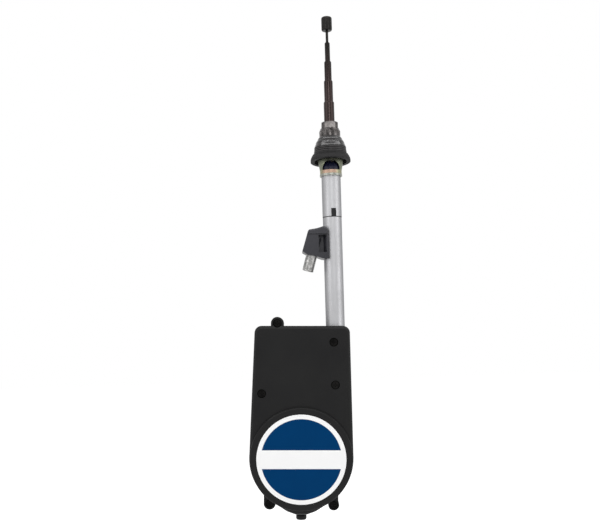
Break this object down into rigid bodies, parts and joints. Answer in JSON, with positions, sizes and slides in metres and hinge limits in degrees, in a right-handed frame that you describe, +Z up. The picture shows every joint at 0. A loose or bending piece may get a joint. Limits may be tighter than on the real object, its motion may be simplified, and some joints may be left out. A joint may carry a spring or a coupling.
{
  "type": "motor-driven telescopic car antenna",
  "caption": "Motor-driven telescopic car antenna: mast, fender head with gasket and claw, aluminium tube with coaxial socket, motor and cable drum housing.",
  "frame": {"origin": "on the mast axis, in the plane of the gasket's lower rim, where the antenna sits on the fender", "axes": "+Z up along the mast, +X to the right of the round label's front view, -Y to the front"},
  "size_m": [0.0982, 0.0558, 0.4521],
  "materials": {
    "mast_black": "black chrome, dark with a brown tint",
    "black_metal": "glossy black coating",
    "head_plastic": "satin black moulding",
    "gasket_rubber": "matt black rubber",
    "passivated_steel": "zinc plated, yellow-green passivated sheet",
    "navy_plastic": "navy blue moulding",
    "grey_metal": "dark grey coating",
    "aluminium": "drawn, matt silver",
    "inner_plastic": "black moulding",
    "brass": "drawn brass",
    "socket_plastic": "satin black moulding",
    "nickel": "worn nickel plate",
    "white_plastic": "natural nylon",
    "housing_plastic": "fine matt black moulding",
    "label": "blue and white printed plate",
    "screw_black": "blackened steel",
    "steel": "ground steel",
    "lining": "friction lining",
    "magnet": "ferrite",
    "board_green": "green circuit board"
  },
  "bodies": {
    "fender_side": {"fender_gasket": "gasket_rubber"},
    "antenna": {"cap_nut": "black_metal", "nut_washer": "black_metal", "threaded_neck": "black_metal", "domed_cap": "head_plastic", "ribbed_ring": "head_plastic", "claw_bracket": "passivated_steel", "ball_insulator": "navy_plastic", "sleeve_collar": "grey_metal", "upper_sleeve": "aluminium", "lower_tube": "aluminium", "insulating_liner": "inner_plastic", "contact_tube": "brass", "socket_housing": "socket_plastic", "socket_barrel": "nickel", "socket_insulator": "white_plastic", "socket_contact": "brass", "feed_wire": "brass", "front_cover": "housing_plastic", "rear_shell": "housing_plastic", "cover_seal": "gasket_rubber", "label_disc": "label", "face_screws": "screw_black", "ear_screws": "screw_black", "tube_clamp": "grey_metal", "cable_guide": "white_plastic", "drum_axle": "steel", "foot_bush": "brass", "motor_can": "steel", "motor_end_cap": "inner_plastic", "motor_magnets": "magnet", "circuit_board": "board_green", "relay": "inner_plastic", "lead_grommet": "gasket_rubber"},
    "stage_4": {"mast_stage_4": "mast_black", "guide_bush_4": "brass"},
    "stage_3": {"mast_stage_3": "mast_black", "guide_bush_3": "brass"},
    "stage_2": {"mast_stage_2": "mast_black", "guide_bush_2": "brass"},
    "stage_1": {"mast_stage_1": "mast_black", "guide_bush_1": "brass"},
    "tip": {"tip_rod": "mast_black", "tip_knob": "mast_black", "cable_ferrule": "brass", "drive_cable_run": "white_plastic"},
    "drum": {"cable_drum": "white_plastic", "drive_cable_coil": "white_plastic", "clutch_lining": "lining", "clutch_spring": "steel", "retaining_ring": "steel", "worm_wheel": "white_plastic"},
    "motor_rotor": {"motor_armature": "steel", "worm": "steel"}
  },
  "joints": [
    {"name": "head_swivel", "type": "hinge", "parent": "fender_side", "child": "antenna", "pos_m": [0, 0, -0.01], "axis": [1, 0, 0], "range_deg": [-6, 6]},
    {"name": "motor_spin", "type": "hinge", "parent": "antenna", "child": "motor_rotor", "pos_m": [-0.05799, 0.0115, -0.2632], "axis": [0.0291, 0, 0.9996], "range_deg": [-6804.19, 64884.41]},
    {"name": "drum_turn", "type": "hinge", "parent": "antenna", "child": "drum", "pos_m": [-0.034, 0, -0.2639], "axis": [0, 1, 0], "range_deg": [-1297.65, 136.04]},
    {"name": "stage_4_slide", "type": "slide", "parent": "antenna", "child": "stage_4", "axis": [0, 0, 1], "range_m": [-0.01823, 0.17391]},
    {"name": "stage_3_slide", "type": "slide", "parent": "stage_4", "child": "stage_3", "axis": [0, 0, 1], "range_m": [-0.01862, 0.17763]},
    {"name": "stage_2_slide", "type": "slide", "parent": "stage_3", "child": "stage_2", "axis": [0, 0, 1], "range_m": [-0.01697, 0.16182]},
    {"name": "stage_1_slide", "type": "slide", "parent": "stage_2", "child": "stage_1", "axis": [0, 0, 1], "range_m": [-0.01667, 0.15903]},
    {"name": "tip_slide", "type": "slide", "parent": "stage_1", "child": "tip", "axis": [0, 0, 1], "range_m": [-0.01024, 0.09765], "deforming": ["drive_cable_run"]}
  ],
  "couplings": [
    {"joint": "motor_spin", "follows": "drum_turn", "ratio": -50},
    {"joint": "stage_4_slide", "follows": "drum_turn", "m_per_rad": -0.0076787},
    {"joint": "stage_3_slide", "follows": "drum_turn", "m_per_rad": -0.007843},
    {"joint": "stage_2_slide", "follows": "drum_turn", "m_per_rad": -0.0071449},
    {"joint": "stage_1_slide", "follows": "drum_turn", "m_per_rad": -0.0070217},
    {"joint": "tip_slide", "follows": "drum_turn", "m_per_rad": -0.0043116}
  ]
}
